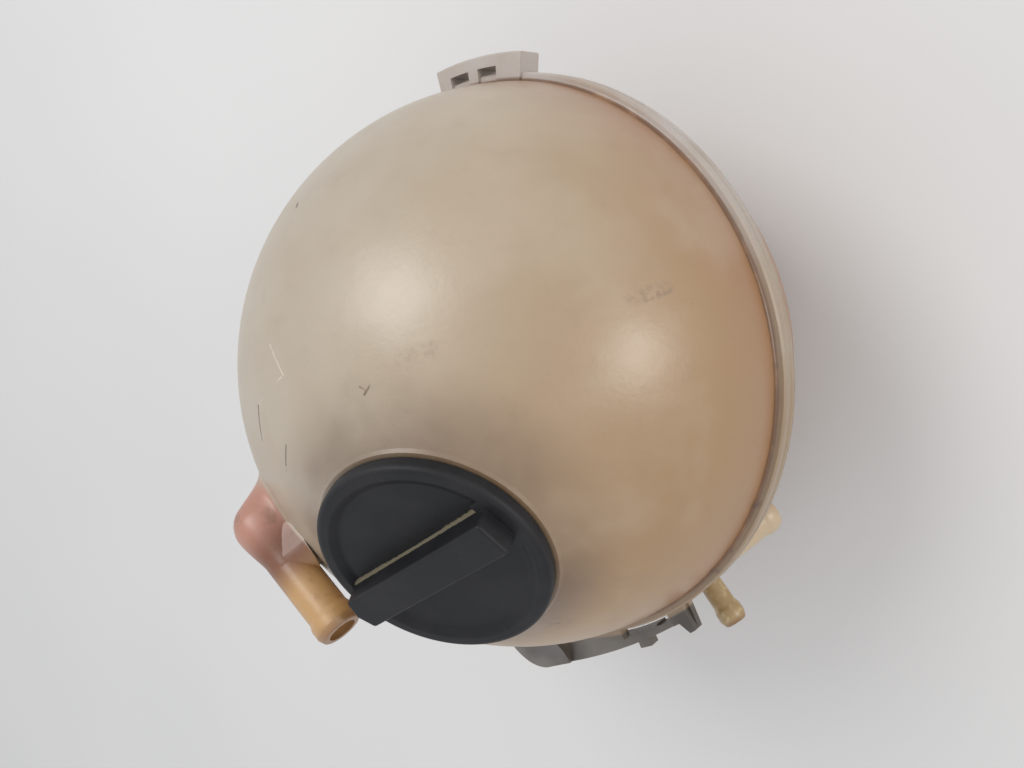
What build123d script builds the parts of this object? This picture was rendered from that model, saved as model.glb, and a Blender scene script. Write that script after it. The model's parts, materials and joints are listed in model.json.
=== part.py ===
from build123d import *
import os
from math import cos, radians, sin, sqrt

# Coolant expansion tank, in millimetres: a ball of two moulded halves welded at a flange, with a screw
# cap that holds the pressure and vacuum valves. The weld plane is horizontal and +Z points to the
# cap's side. The origin is in the slot of the upper bracket, and +Y points out of the ball there.

# Ball and its flange
ball_radius = 95.0
wall = 3.0
flange_reach = 2.7
flange_upper = 4.0
flange_lower = 3.5
flange_edge = 0.6
flange_root_fillet = 1.2
weld_gap = 0.3

# Neck, along an axis through the ball's centre
neck_tilt = 29.6
neck_azimuth = -53.0
shoulder_radius = 35.2
shoulder_flare = 11.8
shoulder_step = 2.76
shoulder_edge = 0.8
form_end_angle = -40.0
thread_bore_radius = 24.5
thread_depth = 10.7
seal_bore_radius = 20.5
bore_step = 1.5
neck_depth = 22.0
neck_wall = 3.0
mouth_chamfer = 0.8

# Elbow connection on the upper half
elbow_tilt = 34.2
elbow_azimuth = -139.9
elbow_rise = 7.0
elbow_heading = -41.0
elbow_length = 43.0
elbow_radius = 6.65
elbow_knuckle_radius = 8.0
elbow_foot_length = 15.0
elbow_foot_draft = 14.0
elbow_bore_radius = 4.5
elbow_fin_thickness = 1.0
elbow_fin_height = 1.6
elbow_fin_start = -3.0
elbow_fin_end = 14.0
elbow_fin_slope = 2.5

# Thin connection on the lower half, level and pointing straight out
thin_azimuth = -54.7
thin_drop = 22.0
thin_reach = 17.5
thin_radius = 4.0
thin_bore_radius = 2.4

# Oblique connection on the lower half, behind the flange: it lies against the ball and dips outwards
stub_tilt = 123.4
stub_azimuth = -45.8
stub_tip_rise = 14.0
stub_dip = 54.6
stub_heading = 41.2
stub_length = 30.0
stub_radius = 6.5
stub_knuckle_radius = 7.5
stub_bore_radius = 4.6

# Beads at the ends of the three connections
bead_rise = 0.65
bead_length = 3.0
bead_ramp = 2.0
bead_tip_length = 2.2
tip_round = 0.8
root_fillet = 1.5

# Upper bracket: a curved outer wall on three legs, with two slots between it and the flange
bracket_start = 80.5
bracket_end = 100.5
bracket_slot_width = 2.3
bracket_wall = 3.9
bracket_half_height = 5.0
left_leg_width = 3.0
middle_leg_centre = 91.75
middle_leg_width = 2.3
right_leg_width = 5.6
bracket_edge = 0.5

# Lower bracket: a lobe, a strap that runs beside the flange, a catch tooth and a hook
lobe_start = -98.0
lobe_end = -84.0
lobe_reach = 16.6
lobe_corner_reach = 15.3
lobe_root_reach = 10.2
lobe_root_turn = 1.0
lobe_corner_turn = 2.5
lobe_crown_turn = 1.0
lobe_climb = 20.0
lobe_lip = 1.5
lobe_waist_reach = 4.0
lobe_waist_height = 6.7
strap_end = -57.0
strap_reach_start = 12.1
strap_reach_middle = 6.7
strap_reach_end = 4.4
strap_inner_reach = 3.4
strap_inner_middle_reach = 2.8
strap_inner_end_reach = 1.0
strap_top = 1.5
strap_bottom = 4.5
strap_slot_angle = 3.6
strap_slot_end = -57.6
ledge_end = -69.0
tooth_centre = -66.4
tooth_width = 2.6
tooth_reach = 8.4
hook_root_start = -57.4
hook_root_end = -52.5
hook_tip_start = -55.0
hook_tip_end = -53.8
hook_barb_turn = 1.0
hook_reach = 8.6
hook_thickness = 2.5

# Cap cover: dished disc with a grip bar, and a skirt that carries the thread
cap_gap = 0.3
cap_radius = 33.5
cap_thickness = 4.7
cap_edge_round = 1.8
dish_radius = 27.0
dish_edge_width = 2.6
dish_depth = 2.7
dish_slope = 1.0
dish_round = 2.0
dish_edge_round = 1.0
platform_width = 17.0
platform_inset = 2.5
bar_turn = 8.2
bar_rise = 6.0
bar_width = 11.0
bar_front = 27.9
bar_back = 30.4
bar_point = 1.8
bar_draft = 4.0
bar_edge_round = 1.0
bar_corner_round = 1.2
bar_core_width = 5.0
bar_core_length = 26.0
bar_core_top_wall = 2.8
skirt_wall = 3.0
thread_clearance = 2.2
skirt_depth = 10.7
snap_lip = 1.2
snap_height = 1.3

# Valve housing: a plug that turns in the cover's skirt and seals in the neck
fit_gap = 0.3
housing_clearance = 0.4
housing_depth = 20.0
housing_bore_radius = 15.8
housing_rim_drop = 1.3
housing_floor = 2.5
floor_hole_radius = 10.0
seat_bead_radius = 11.8
seat_bead_width = 1.4
seat_bead_rise = 0.8
ring_section = 2.4
ring_squeeze_gap = 0.2
ring_groove_play = 0.3
lower_ring_height = 2.4
ring_spacing = 3.6

# Relief valve
relief_seal_radius = 13.2
relief_seal_bore = 8.6
relief_seal_thickness = 1.2
relief_plate_thickness = 1.8
relief_plate_radius = 13.6
relief_guide_count = 4
relief_guide_width = 3.0
guide_clearance = 0.35
relief_collar_radius = 8.8
relief_collar_rise = 1.6
relief_spring_radius = 11.2
relief_spring_wire = 1.3
relief_spring_turns = 3.5
retainer_thickness = 1.4
retainer_hole_radius = 7.5
retainer_groove_depth = 0.5
retainer_drop = 1.2

# Vacuum valve
vacuum_stem_radius = 1.6
vacuum_stem_clearance = 0.4
vacuum_head_radius = 6.8
vacuum_head_thickness = 1.2
vacuum_head_taper = 1.2
vacuum_seal_radius = 6.4
vacuum_seal_bore = 2.4
vacuum_seal_thickness = 0.8
vacuum_port_radius = 0.9
vacuum_port_circle = 4.3
vacuum_port_count = 6
vacuum_spring_radius = 2.7
vacuum_spring_wire = 0.5
vacuum_spring_turns = 5
vacuum_spring_height = 5.0
clip_radius = 3.7
clip_thickness = 0.7
clip_groove_depth = 0.4
stem_end = 0.9

# Places worked out from the sizes above
flange_radius = ball_radius + flange_reach
bracket_slot_radius = flange_radius + bracket_slot_width / 2
bracket_wall_radius = flange_radius + bracket_slot_width
lower_clear_radius = flange_radius + weld_gap
core_radius = ball_radius - wall
ball_centre = Vector(0, -bracket_slot_radius, 0)
up = Vector(0, 0, 1)
seam_plane = Plane(origin=ball_centre, x_dir=(1, 0, 0), z_dir=(0, 0, 1))


def polar(radius, angle):
    """Point in the weld plane at a radius and an azimuth about the ball's centre."""
    return (radius * cos(radians(angle)), radius * sin(radians(angle)))


def ball_direction(tilt, azimuth):
    """Direction that leans away from +Z by a tilt, towards an azimuth."""
    lean = sin(radians(tilt))
    return Vector(lean * cos(radians(azimuth)), lean * sin(radians(azimuth)), cos(radians(tilt)))


def level_direction(azimuth):
    """Level direction at an azimuth."""
    return ball_direction(90, azimuth)


# Planes on the neck's axis: heights in them are measured from the ball's centre
neck_direction = ball_direction(neck_tilt, neck_azimuth)
neck_downhill = ball_direction(neck_tilt + 90, neck_azimuth)
neck_plane = Plane(origin=ball_centre, x_dir=neck_downhill, z_dir=neck_direction)
neck_section = Plane(origin=ball_centre, x_dir=neck_downhill, z_dir=-neck_plane.y_dir)
neck_axis = Axis(ball_centre, neck_direction)
bar_heading = 90 - bar_turn
lobe_middle = (lobe_start + lobe_end) / 2

# Heights along the neck's axis
neck_face = sqrt(ball_radius**2 - shoulder_radius**2) + shoulder_step
thread_end = neck_face - thread_depth
seal_start = thread_end - bore_step
neck_end = neck_face - neck_depth
cover_base = neck_face + cap_gap
rim_top = cover_base + cap_thickness
bar_top = rim_top + bar_rise
dish_floor = rim_top - dish_depth
rim_flat = cap_radius - dish_radius - dish_edge_width
rim_round = min(cap_edge_round, rim_flat / 2)
rim_inner_round = min(dish_edge_round, rim_flat / 2)
skirt_radius = thread_bore_radius - thread_clearance
skirt_bore = skirt_radius - skirt_wall
skirt_end = cover_base - skirt_depth
snap_bore = skirt_bore - snap_lip
housing_radius = seal_bore_radius - housing_clearance
housing_base = neck_face - housing_depth
housing_shoulder = skirt_end - fit_gap
housing_neck_radius = snap_bore - fit_gap
housing_head_radius = skirt_bore - fit_gap
housing_head_base = skirt_end + snap_height + fit_gap
housing_top = cover_base - housing_rim_drop
floor_top = housing_base + housing_floor
seat_top = floor_top + seat_bead_rise
plate_base = seat_top + relief_seal_thickness
plate_top = plate_base + relief_plate_thickness
retainer_base = housing_top - retainer_drop - retainer_thickness
groove_radius = seal_bore_radius - ring_squeeze_gap - ring_section
ring_centre_radius = groove_radius + ring_section / 2
ring_heights = [housing_base + lower_ring_height, housing_base + lower_ring_height + ring_spacing]
clip_base = plate_top + vacuum_spring_height
stem_top = clip_base + clip_thickness + stem_end
head_top = plate_base - vacuum_seal_thickness
head_base = head_top - vacuum_head_thickness


def ring_sector(inner, outer, start, end):
    """Piece of a flat ring about the ball's centre, between two azimuths."""
    with BuildSketch() as sector:
        with BuildLine():
            CenterArc((0, 0), outer, start, end - start)
            CenterArc((0, 0), inner, start, end - start)
            Line(polar(inner, start), polar(outer, start))
            Line(polar(inner, end), polar(outer, end))
        make_face()
    return sector.sketch


def finish_flange(shell, thickness):
    """Rounds the corner between ball and flange, and breaks the flange's outer edges."""
    rings = shell.edges().filter_by(GeomType.CIRCLE)
    corner_radius = sqrt(ball_radius**2 - thickness**2)
    corners = rings.filter_by(lambda ring: abs(ring.radius - corner_radius) < weld_gap / 2)
    fillet(corners, flange_root_fillet)
    rings = shell.edges().filter_by(GeomType.CIRCLE)
    rims = rings.filter_by(lambda ring: abs(ring.radius - flange_radius) < weld_gap)
    chamfer(rims, flange_edge)


def foot_edges(shell, root, reach):
    """Edges where something near a root point meets the ball's outer surface."""
    def on_ball(point):
        return abs((point - ball_centre).length - ball_radius) < weld_gap / 2

    edges = shell.edges().filter_by(lambda edge: (edge @ 0 - root).length < reach)
    return edges.filter_by(lambda edge: on_ball(edge @ 0) and on_ball(edge @ 0.3) and on_ball(edge @ 0.7))


def hose_end(root, heading, length, radius):
    """Solid hose connection from a root point: a round tube with a bead near its rounded tip."""
    side = up.cross(heading).normalized()
    section = Plane(origin=root, x_dir=heading.cross(side), z_dir=side)
    bead_radius = radius + bead_rise
    bead_end = length - bead_tip_length
    bead_start = bead_end - bead_length
    with BuildPart() as tube:
        with BuildSketch(section):
            with BuildLine():
                Polyline(
                    (0, 0),
                    (radius, 0),
                    (radius, bead_start - bead_ramp),
                    (bead_radius, bead_start),
                    (bead_radius, bead_end),
                    (radius - bead_rise / 2, length),
                    (0, length),
                    close=True,
                )
            make_face()
        revolve(axis=Axis(root, heading))
        fillet(tube.faces().sort_by(Axis(root, heading))[-1].edges(), radius=tip_round)
    return tube.part


def bore(end, heading, length, radius):
    """Straight round hole that goes in at an end point, against a heading."""
    with BuildPart() as drill:
        with BuildSketch(Plane(origin=end, x_dir=up, z_dir=heading)):
            Circle(radius)
        extrude(amount=-length)
    return drill.part


# Elbow connection: a knuckle over the ball, and a level tube
elbow_outward = ball_direction(elbow_tilt, elbow_azimuth)
elbow_knuckle = ball_centre + elbow_outward * (ball_radius + elbow_rise)
elbow_direction = level_direction(elbow_heading)
elbow_tip = elbow_knuckle + elbow_direction * elbow_length
elbow_plane = Plane(origin=elbow_knuckle, x_dir=elbow_direction, z_dir=elbow_outward)
elbow_tube = hose_end(elbow_knuckle, elbow_direction, elbow_length, elbow_radius)
elbow_tube_bore = bore(elbow_tip, elbow_direction, elbow_length, elbow_bore_radius)
elbow_inlet = bore(elbow_knuckle, elbow_outward, elbow_rise + 2 * wall, elbow_bore_radius)

with BuildPart() as elbow_foot:
    with BuildSketch(elbow_plane):
        with Locations((elbow_foot_length / 2, 0)):
            SlotCenterToCenter(elbow_foot_length, 2 * elbow_radius)
    extrude(amount=-(elbow_rise + wall / 2), taper=-elbow_foot_draft)
    # Moulding fin along the elbow's outer side
    with BuildSketch(elbow_plane):
        with BuildLine():
            fin_reach = elbow_knuckle_radius + elbow_fin_height
            Polyline(
                (elbow_fin_start, 0),
                (elbow_fin_start, elbow_fin_slope - fin_reach),
                (elbow_fin_start + elbow_fin_slope, -fin_reach),
                (elbow_fin_end - elbow_fin_slope, -fin_reach),
                (elbow_fin_end, elbow_fin_height - elbow_radius),
                (elbow_fin_end, 0),
                close=True,
            )
        make_face()
    extrude(amount=elbow_fin_thickness / 2, both=True)

# Thin connection, level, straight out of the ball
thin_direction = level_direction(thin_azimuth)
thin_wall_radius = sqrt(ball_radius**2 - thin_drop**2)
thin_root = ball_centre - up * thin_drop + thin_direction * (thin_wall_radius - wall / 2)
thin_length = flange_radius + thin_reach - thin_wall_radius
thin_tip = thin_root + thin_direction * thin_length
thin_tube = hose_end(thin_root, thin_direction, thin_length, thin_radius)
thin_bore = bore(thin_tip, thin_direction, thin_length + 2 * wall, thin_bore_radius)

# Oblique connection: its tip stands clear of the ball, and its knuckle is half sunk in it
stub_direction = ball_direction(90 + stub_dip, stub_heading)
stub_tip = ball_centre + ball_direction(stub_tilt, stub_azimuth) * (ball_radius + stub_tip_rise)
stub_root = stub_tip - stub_direction * stub_length
stub_outward = (stub_root - ball_centre).normalized()
stub_inlet_length = (stub_root - ball_centre).length - core_radius + wall
stub_tube = hose_end(stub_root, stub_direction, stub_length, stub_radius)
stub_bore = bore(stub_tip, stub_direction, stub_length, stub_bore_radius)
stub_inlet = bore(stub_root, stub_outward, stub_inlet_length, stub_bore_radius)


def bracket_plan(inner):
    """Upper bracket from above: an arc of wall on three legs that start at an inner radius."""
    outer = bracket_wall_radius + bracket_wall
    left_pocket = (middle_leg_centre + middle_leg_width / 2, bracket_end - left_leg_width)
    right_pocket = (bracket_start + right_leg_width, middle_leg_centre - middle_leg_width / 2)
    with BuildSketch() as plan:
        add(ring_sector(inner, outer, bracket_start, bracket_end))
        add(ring_sector(inner - wall, bracket_wall_radius, *left_pocket), mode=Mode.SUBTRACT)
        add(ring_sector(inner - wall, bracket_wall_radius, *right_pocket), mode=Mode.SUBTRACT)
    return plan.sketch


def lobe_plan(inner):
    """Lobe of the lower bracket from above, out from an inner radius."""
    with BuildSketch() as plan:
        with BuildLine():
            left = polar(flange_radius + lobe_root_reach, lobe_start)
            corner = polar(flange_radius + lobe_corner_reach, lobe_start + lobe_corner_turn)
            crown = polar(flange_radius + lobe_reach, lobe_middle + lobe_crown_turn)
            right = polar(flange_radius + strap_reach_start, lobe_end)
            Line(polar(inner, lobe_start - lobe_root_turn), left)
            ThreePointArc(left, corner, crown)
            Line(crown, right)
            Line(right, polar(inner, lobe_end))
            CenterArc((0, 0), inner, lobe_end, lobe_start - lobe_root_turn - lobe_end)
        make_face()
    return plan.sketch


lobe_section = Plane(
    origin=ball_centre,
    x_dir=level_direction(lobe_middle),
    z_dir=level_direction(lobe_middle - 90),
)

with BuildPart() as lobe:
    with BuildSketch(seam_plane):
        add(lobe_plan(core_radius - lobe_climb / 2))
    extrude(amount=lobe_climb)
    # The lobe's top sweeps down from the ball to its outer lip
    with BuildSketch(lobe_section):
        with BuildLine():
            lip = (flange_radius + lobe_reach + wall, lobe_lip)
            crest = (sqrt(ball_radius**2 - lobe_climb**2) - wall / 2, lobe_climb)
            ThreePointArc(lip, (flange_radius + lobe_waist_reach, lobe_waist_height), crest)
            Line(crest, (0, lobe_climb))
            Line((0, lobe_climb), (0, 0))
            Line((0, 0), (lip[0], 0))
            Line((lip[0], 0), lip)
        make_face()
    extrude(amount=ball_radius, both=True, mode=Mode.INTERSECT)
    with BuildSketch(seam_plane):
        add(lobe_plan(lower_clear_radius))
    extrude(amount=-strap_bottom)


def strap_plan():
    """Strap of the lower bracket from above, from the lobe to the hook."""
    outer_start = polar(flange_radius + strap_reach_start, lobe_end)
    outer_middle = polar(flange_radius + strap_reach_middle, (lobe_end + strap_end) / 2)
    outer_end = polar(flange_radius + strap_reach_end, strap_end)
    inner_end = polar(flange_radius + strap_inner_end_reach, strap_end)
    inner_middle = polar(flange_radius + strap_inner_middle_reach, (lobe_end + strap_end) / 2)
    inner_start = polar(flange_radius + strap_inner_reach, lobe_end)
    with BuildSketch() as plan:
        with BuildLine():
            ThreePointArc(outer_start, outer_middle, outer_end)
            Line(outer_end, inner_end)
            ThreePointArc(inner_end, inner_middle, inner_start)
            Line(inner_start, outer_start)
        make_face()
    return plan.sketch


def hook_plan(inner):
    """Hook at the strap's end from above: a fin that narrows to its tip."""
    with BuildSketch() as plan:
        with BuildLine():
            Polyline(
                polar(inner, hook_root_start),
                polar(flange_radius + strap_reach_end, hook_root_start),
                polar(flange_radius + strap_reach_end, hook_tip_start - hook_barb_turn),
                polar(flange_radius + hook_reach, hook_tip_start),
                polar(flange_radius + hook_reach, hook_tip_end),
                polar(inner, hook_root_end),
                close=True,
            )
        make_face()
    return plan.sketch


with BuildPart() as upper_shell:
    # Outer form of the half ball with the neck's shoulder
    with BuildSketch(neck_section):
        with BuildLine():
            flare_radius = shoulder_radius + shoulder_flare
            flare_start = (flare_radius, sqrt(ball_radius**2 - flare_radius**2))
            flare_tangent = (-flare_start[1], flare_start[0])
            shoulder = (shoulder_radius, neck_face - shoulder_edge)
            ball_side = polar(ball_radius, form_end_angle)
            RadiusArc(ball_side, flare_start, -ball_radius)
            TangentArc(flare_start, shoulder, tangent=flare_tangent)
            Line(shoulder, (shoulder_radius - shoulder_edge, neck_face))
            Line((shoulder_radius - shoulder_edge, neck_face), (0, neck_face))
            Line((0, neck_face), (0, 0))
            Line((0, 0), ball_side)
        make_face()
    revolve(axis=neck_axis)
    split(bisect_by=seam_plane, keep=Keep.TOP)
    # Upper half of the flange
    with BuildSketch(seam_plane):
        Circle(flange_radius)
        Circle(core_radius - wall, mode=Mode.SUBTRACT)
    extrude(amount=flange_upper)
    finish_flange(upper_shell, flange_upper)
    # Upper bracket
    with BuildSketch(seam_plane):
        add(bracket_plan(ball_radius - wall))
    extrude(amount=bracket_half_height)
    with BuildSketch(seam_plane):
        add(bracket_plan(lower_clear_radius))
    extrude(amount=-bracket_half_height)
    rings = upper_shell.edges().filter_by(GeomType.CIRCLE)
    bracket_outer = bracket_wall_radius + bracket_wall
    chamfer(rings.filter_by(lambda ring: abs(ring.radius - bracket_outer) < weld_gap), bracket_edge)
    # Lower bracket: lobe, ledge, strap, tooth and hook
    add(lobe.part)
    with BuildSketch(seam_plane):
        ledge_reach = flange_radius + strap_inner_reach
        add(ring_sector(ball_radius - wall, ledge_reach, lobe_end - lobe_root_turn, ledge_end))
    extrude(amount=flange_upper)
    with BuildSketch(seam_plane):
        add(strap_plan())
    extrude(amount=strap_top)
    with BuildSketch(seam_plane):
        add(strap_plan())
        tooth_sides = (tooth_centre - tooth_width / 2, tooth_centre + tooth_width / 2)
        add(ring_sector(ledge_reach, flange_radius + tooth_reach, *tooth_sides))
    extrude(amount=-strap_bottom)
    with BuildSketch(seam_plane):
        add(hook_plan(ball_radius - wall))
    extrude(amount=hook_thickness)
    with BuildSketch(seam_plane):
        add(hook_plan(lower_clear_radius))
    extrude(amount=-hook_thickness)
    # Elbow
    add(elbow_foot.part)
    with Locations(elbow_knuckle):
        Sphere(elbow_knuckle_radius)
    add(elbow_tube)
    # See-through slot between strap and flange
    with BuildSketch(seam_plane):
        slot_reach = flange_radius + strap_inner_reach - strap_inner_end_reach
        add(ring_sector(lower_clear_radius, slot_reach, strap_slot_end - strap_slot_angle, strap_slot_end))
    extrude(amount=strap_bottom + strap_top, both=True, mode=Mode.SUBTRACT)
    # Hollow inside, then the neck's tube and its stepped bore
    with Locations(ball_centre):
        Sphere(core_radius, mode=Mode.SUBTRACT)
    with BuildSketch(neck_plane.offset(neck_end)):
        Circle(seal_bore_radius + neck_wall)
    extrude(amount=neck_face - neck_end - shoulder_edge)
    with BuildSketch(neck_plane.offset(seal_start - neck_wall)):
        Circle(thread_bore_radius + neck_wall)
    extrude(amount=neck_face - shoulder_edge - seal_start + neck_wall)
    with BuildSketch(neck_section):
        with BuildLine():
            Polyline(
                (0, neck_end - wall),
                (seal_bore_radius, neck_end - wall),
                (seal_bore_radius, seal_start),
                (thread_bore_radius, thread_end),
                (thread_bore_radius, neck_face - mouth_chamfer),
                (thread_bore_radius + mouth_chamfer, neck_face),
                (thread_bore_radius + mouth_chamfer, neck_face + wall),
                (0, neck_face + wall),
                close=True,
            )
        make_face()
    revolve(axis=neck_axis, mode=Mode.SUBTRACT)
    add(elbow_tube_bore, mode=Mode.SUBTRACT)
    add(elbow_inlet, mode=Mode.SUBTRACT)

with BuildPart() as lower_shell:
    with Locations(ball_centre):
        Sphere(ball_radius)
    split(bisect_by=seam_plane, keep=Keep.BOTTOM)
    with BuildSketch(seam_plane):
        Circle(flange_radius)
        Circle(core_radius - wall, mode=Mode.SUBTRACT)
    extrude(amount=-flange_lower)
    finish_flange(lower_shell, flange_lower)
    add(thin_tube)
    fillet(foot_edges(lower_shell, thin_root, 2 * thin_radius), root_fillet)
    with Locations(stub_root):
        Sphere(stub_knuckle_radius)
    add(stub_tube)
    with Locations(ball_centre):
        Sphere(core_radius, mode=Mode.SUBTRACT)
    add(thin_bore, mode=Mode.SUBTRACT)
    add(stub_bore, mode=Mode.SUBTRACT)
    add(stub_inlet, mode=Mode.SUBTRACT)

bar_plane = Plane(
    origin=ball_centre + neck_direction * bar_top,
    x_dir=neck_downhill * cos(radians(bar_heading)) + neck_plane.y_dir * sin(radians(bar_heading)),
    z_dir=neck_direction,
)

with BuildPart() as grip_bar:
    # Bar with a blunt pointed back end and rounded edges
    with BuildSketch(bar_plane):
        with BuildLine():
            Polyline(
                (bar_front, -bar_width / 2),
                (bar_front, bar_width / 2),
                (-bar_back + bar_point, bar_width / 2),
                (-bar_back, 0),
                (-bar_back + bar_point, -bar_width / 2),
                close=True,
            )
        make_face()
    extrude(amount=-(bar_top - cover_base - dish_depth / 2), taper=-bar_draft)
    bar_ends = grip_bar.faces().sort_by(neck_axis)
    fillet(grip_bar.edges() - bar_ends[-1].edges() - bar_ends[0].edges(), bar_corner_round)
    fillet(grip_bar.faces().sort_by(neck_axis)[-1].edges(), bar_edge_round)

with BuildPart() as cap_cover:
    with BuildSketch(neck_section):
        with BuildLine():
            FilletPolyline(
                (0, cover_base),
                (cap_radius, cover_base),
                (cap_radius, rim_top),
                (dish_radius + dish_edge_width, rim_top),
                (dish_radius, dish_floor + dish_slope),
                (0, dish_floor),
                radius=[flange_edge, rim_round, rim_inner_round, dish_round],
            )
            Line((0, dish_floor), (0, cover_base))
        make_face()
    revolve(axis=neck_axis)
    # Level platform between the bar's front end and the rim
    with BuildSketch(bar_plane.offset(rim_top - bar_top)):
        with Locations((bar_front - platform_inset, 0)):
            Rectangle(cap_radius - bar_front, platform_width, align=(Align.MIN, Align.CENTER))
    extrude(amount=-cap_thickness / 2)
    add(grip_bar.part)
    # Hollow under the bar
    with BuildSketch(bar_plane.offset(-bar_core_top_wall)):
        SlotOverall(bar_core_length, bar_core_width)
    extrude(amount=-bar_top, mode=Mode.SUBTRACT)
    # Skirt with an inward lip at its end
    with BuildSketch(neck_section):
        with BuildLine():
            Polyline(
                (skirt_bore, cover_base),
                (skirt_radius, cover_base),
                (skirt_radius, skirt_end),
                (snap_bore, skirt_end),
                (snap_bore, skirt_end + snap_height),
                (skirt_bore, skirt_end + snap_height),
                close=True,
            )
        make_face()
    revolve(axis=neck_axis)

with BuildPart() as valve_housing:
    with BuildSketch(neck_section):
        with BuildLine():
            Polyline(
                (floor_hole_radius, housing_base),
                (housing_radius, housing_base),
                (housing_radius, housing_shoulder),
                (housing_neck_radius, housing_shoulder),
                (housing_neck_radius, housing_head_base),
                (housing_head_radius, housing_head_base),
                (housing_head_radius, housing_top),
                (housing_bore_radius, housing_top),
                (housing_bore_radius, floor_top),
                (floor_hole_radius, floor_top),
                close=True,
            )
        make_face()
    revolve(axis=neck_axis)
    with BuildSketch(neck_plane.offset(floor_top)):
        Circle(seat_bead_radius + seat_bead_width / 2)
        Circle(seat_bead_radius - seat_bead_width / 2, mode=Mode.SUBTRACT)
    extrude(amount=seat_bead_rise)
    # Grooves for the two sealing rings and for the spring retainer
    for height in ring_heights:
        with BuildSketch(neck_plane.offset(height - (ring_section + ring_groove_play) / 2)):
            Circle(housing_radius + wall)
            Circle(groove_radius, mode=Mode.SUBTRACT)
        extrude(amount=ring_section + ring_groove_play, mode=Mode.SUBTRACT)
    with BuildSketch(neck_plane.offset(retainer_base)):
        Circle(housing_bore_radius + retainer_groove_depth)
    extrude(amount=retainer_thickness, mode=Mode.SUBTRACT)


def sealing_ring(height):
    """Round-section rubber ring about the neck's axis."""
    with BuildPart() as ring:
        with BuildSketch(neck_section):
            with Locations((ring_centre_radius, height)):
                Circle(ring_section / 2)
        revolve(axis=neck_axis)
    return ring.part


with BuildPart() as lower_o_ring:
    add(sealing_ring(ring_heights[0]))

with BuildPart() as upper_o_ring:
    add(sealing_ring(ring_heights[1]))

with BuildPart() as relief_seal:
    with BuildSketch(neck_plane.offset(seat_top)):
        Circle(relief_seal_radius)
        Circle(relief_seal_bore, mode=Mode.SUBTRACT)
    extrude(amount=relief_seal_thickness)

with BuildPart() as relief_plate:
    with BuildSketch(neck_plane.offset(plate_base)):
        Circle(relief_plate_radius)
        guide_circle = housing_bore_radius - guide_clearance - relief_guide_width / 2
        with PolarLocations(guide_circle, relief_guide_count):
            Circle(relief_guide_width / 2)
    extrude(amount=relief_plate_thickness)
    with BuildSketch(neck_plane.offset(plate_top)):
        Circle(relief_collar_radius)
        Circle(relief_collar_radius - relief_plate_thickness, mode=Mode.SUBTRACT)
    extrude(amount=relief_collar_rise)
    with BuildSketch(neck_plane.offset(plate_top)):
        Circle(vacuum_stem_radius + vacuum_stem_clearance)
        with PolarLocations(vacuum_port_circle, vacuum_port_count):
            Circle(vacuum_port_radius)
    extrude(amount=-relief_plate_thickness, mode=Mode.SUBTRACT)


def coil(base, height, radius, wire, turns):
    """Compression spring on the neck's axis, standing on a base height."""
    pitch = (height - wire) / turns
    start = ball_centre + neck_direction * (base + wire / 2)
    with BuildPart() as spring:
        with BuildLine() as path:
            Helix(pitch, height - wire, radius, center=start, direction=neck_direction)
        with BuildSketch(Plane(origin=path.line @ 0, z_dir=path.line % 0)):
            Circle(wire / 2)
        sweep(is_frenet=True)
    return spring.part


with BuildPart() as relief_spring:
    relief_coil = (relief_spring_radius, relief_spring_wire, relief_spring_turns)
    add(coil(plate_top, retainer_base - plate_top, *relief_coil))

with BuildPart() as spring_retainer:
    with BuildSketch(neck_plane.offset(retainer_base)):
        Circle(housing_bore_radius + retainer_groove_depth)
        Circle(retainer_hole_radius, mode=Mode.SUBTRACT)
    extrude(amount=retainer_thickness)

with BuildPart() as vacuum_valve:
    with BuildSketch(neck_section):
        with BuildLine():
            Polyline(
                (0, head_base),
                (vacuum_head_radius - vacuum_head_taper, head_base),
                (vacuum_head_radius, head_top - vacuum_head_thickness / 2),
                (vacuum_head_radius, head_top),
                (vacuum_stem_radius, head_top),
                (vacuum_stem_radius, clip_base),
                (vacuum_stem_radius - clip_groove_depth, clip_base),
                (vacuum_stem_radius - clip_groove_depth, clip_base + clip_thickness),
                (vacuum_stem_radius, clip_base + clip_thickness),
                (vacuum_stem_radius, stem_top),
                (0, stem_top),
                close=True,
            )
        make_face()
    revolve(axis=neck_axis)

with BuildPart() as vacuum_seal:
    with BuildSketch(neck_plane.offset(head_top)):
        Circle(vacuum_seal_radius)
        Circle(vacuum_seal_bore, mode=Mode.SUBTRACT)
    extrude(amount=vacuum_seal_thickness)

with BuildPart() as vacuum_spring:
    vacuum_coil = (vacuum_spring_radius, vacuum_spring_wire, vacuum_spring_turns)
    add(coil(plate_top, vacuum_spring_height, *vacuum_coil))

with BuildPart() as vacuum_clip:
    with BuildSketch(neck_plane.offset(clip_base)):
        Circle(clip_radius)
        Circle(vacuum_stem_radius - clip_groove_depth, mode=Mode.SUBTRACT)
    extrude(amount=clip_thickness)

pieces = {
    "upper_shell": upper_shell,
    "lower_shell": lower_shell,
    "cap_cover": cap_cover,
    "valve_housing": valve_housing,
    "lower_o_ring": lower_o_ring,
    "upper_o_ring": upper_o_ring,
    "relief_plate": relief_plate,
    "relief_seal": relief_seal,
    "relief_spring": relief_spring,
    "spring_retainer": spring_retainer,
    "vacuum_valve": vacuum_valve,
    "vacuum_seal": vacuum_seal,
    "vacuum_spring": vacuum_spring,
    "vacuum_clip": vacuum_clip,
}

os.makedirs("parts", exist_ok=True)
for name, piece in pieces.items():
    piece.part.label = name
    export_step(piece.part, f"parts/{name}.step")
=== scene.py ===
import json
from math import cos, radians, sin, tau

import bmesh
import bpy
from mathutils import Matrix, Vector


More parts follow.
